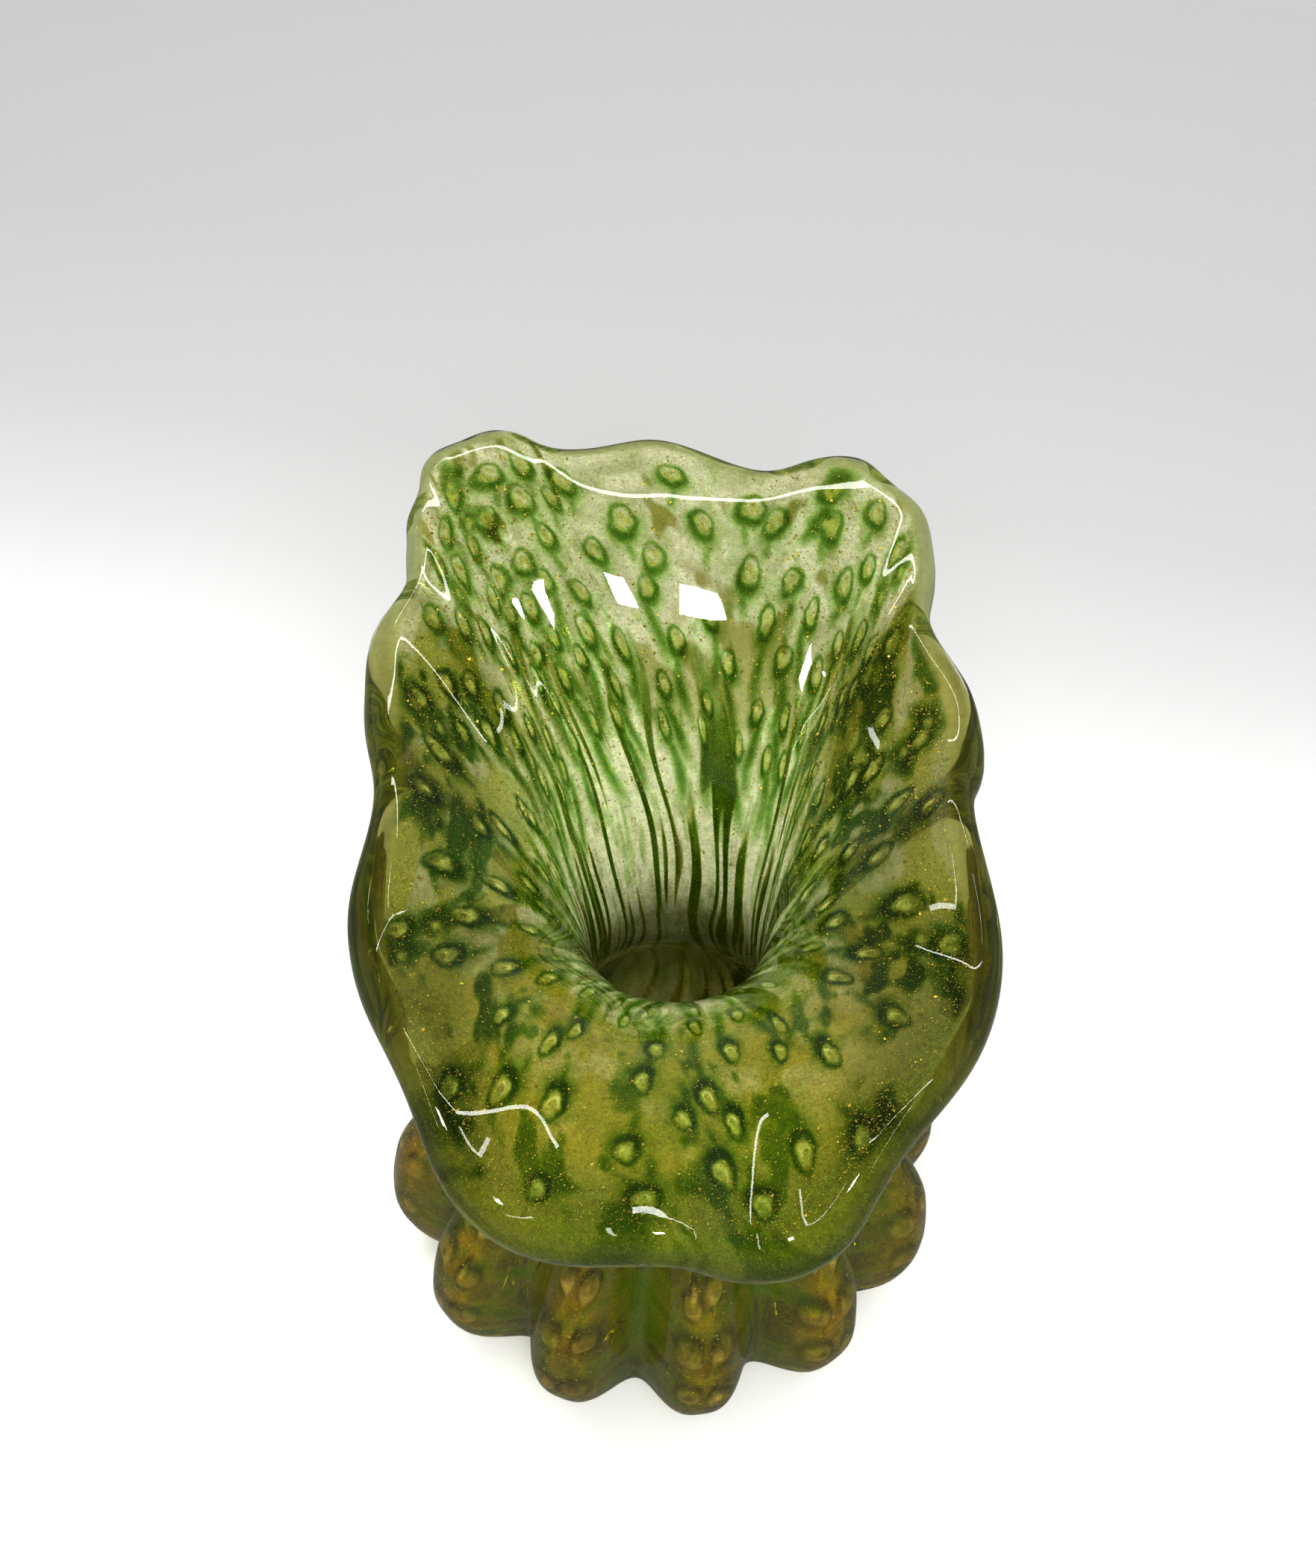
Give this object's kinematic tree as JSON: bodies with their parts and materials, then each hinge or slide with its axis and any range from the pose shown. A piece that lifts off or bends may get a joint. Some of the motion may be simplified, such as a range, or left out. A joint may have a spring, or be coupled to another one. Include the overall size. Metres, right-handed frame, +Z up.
{
  "type": "ruffled ribbed art glass vase",
  "caption": "Hand-blown ribbed vase with a swollen lobed body, narrow throat and wide ruffled oval mouth, in cased green glass with trapped bubbles and leaf flakes.",
  "frame": {"origin": "centre of the ground foot, on the surface the vase stands on", "axes": "+Z up through the throat, -Y toward the low front of the mouth, +X to the right of a viewer in front"},
  "size_m": [0.1099, 0.1708, 0.1398],
  "materials": {
    "casing_glass": "fire-polished clear glass with a smoky olive tint",
    "green_glass": "moss green glass with darker rings and streaks",
    "leaf": "torn metal leaf, satin"
  },
  "bodies": {
    "root": {"clear_casing": "casing_glass", "inner_gather": "green_glass", "gold_leaf": "leaf"}
  },
  "joints": []
}
